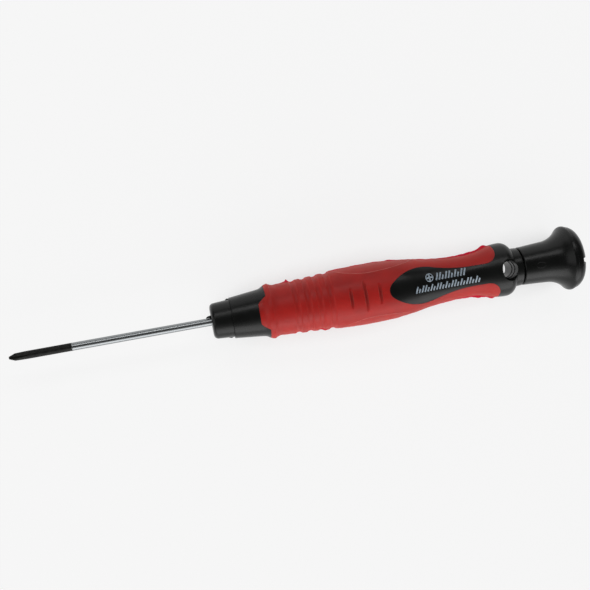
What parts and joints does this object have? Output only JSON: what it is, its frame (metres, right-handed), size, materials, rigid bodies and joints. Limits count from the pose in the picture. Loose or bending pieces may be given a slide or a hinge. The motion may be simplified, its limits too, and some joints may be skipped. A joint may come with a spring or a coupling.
{
  "type": "precision screwdriver",
  "caption": "Small cross-point screwdriver with a two-tone soft-grip handle, a lanyard hole and a flared cap that spins freely on the handle's end.",
  "frame": {"origin": "tip of the blade, on the tool's axis", "axes": "+X along the tool from the tip to the spinning cap, +Z out of the print window that faces up when the tool lies on its side, +Y across the tool"},
  "size_m": [0.147, 0.0168, 0.0168],
  "materials": {
    "blade_steel": "satin plated rod with a black-finished point",
    "core_black": "satin moulded hard plastic",
    "body_black": "satin moulded hard plastic",
    "grip_red": "soft satin overmoulded elastomer",
    "washer_plastic": "smooth natural acetal",
    "cap_black": "satin moulded hard plastic",
    "washer_steel": "zinc plated",
    "screw_steel": "zinc plated",
    "disc_black": "satin moulded hard plastic"
  },
  "bodies": {
    "handle": {"blade": "blade_steel", "inner_core": "core_black", "outer_body": "body_black", "grip_sleeve": "grip_red", "thrust_washer": "washer_plastic", "retaining_washer": "washer_steel", "retaining_screw": "screw_steel"},
    "cap": {"swivel_cap": "cap_black", "cap_end_disc": "disc_black"}
  },
  "joints": [
    {"name": "cap_spin", "type": "hinge", "parent": "handle", "child": "cap", "pos_m": [0.135, 0, 0], "axis": [1, 0, 0], "continuous": true}
  ]
}
